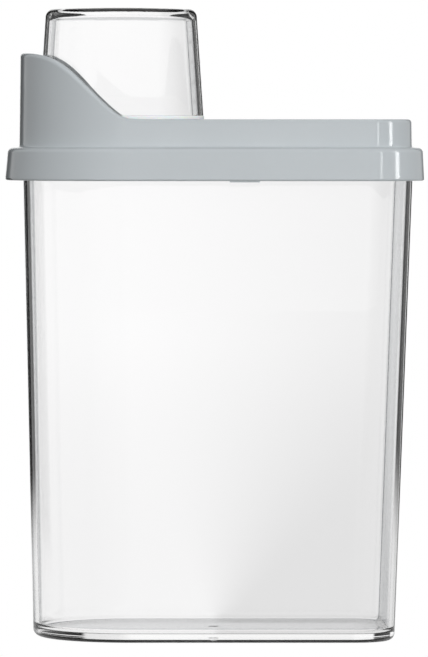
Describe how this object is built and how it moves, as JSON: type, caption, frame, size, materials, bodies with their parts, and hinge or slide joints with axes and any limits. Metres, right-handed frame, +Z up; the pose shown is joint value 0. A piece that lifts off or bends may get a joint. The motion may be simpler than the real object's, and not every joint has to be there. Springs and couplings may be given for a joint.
{
  "type": "pet food bin",
  "caption": "Slim clear pet food bin with a lift-off spout lid and a clear measuring cup that caps the pour opening.",
  "frame": {"origin": "middle of the whole bin's footprint, on the surface that it stands on", "axes": "+Z up, front towards -Y, spout and cup towards -X"},
  "size_m": [0.1627, 0.0958, 0.2453],
  "materials": {
    "clear_plastic": "clear, polished styrene plastic",
    "lid_plastic": "glossy opaque grey-blue moulded plastic",
    "seal_silicone": "translucent white silicone"
  },
  "bodies": {
    "tank": {"tank": "clear_plastic"},
    "lid": {"lid": "lid_plastic", "lid_gasket": "seal_silicone", "cup_seal": "seal_silicone"},
    "cup": {"measuring_cup": "clear_plastic"}
  },
  "joints": [
    {"name": "lid_lift", "type": "slide", "parent": "tank", "child": "lid", "axis": [0, 0, 1], "range_m": [0, 0.08]},
    {"name": "cup_lift", "type": "slide", "parent": "lid", "child": "cup", "axis": [0, 0, 1], "range_m": [0, 0.06]}
  ]
}
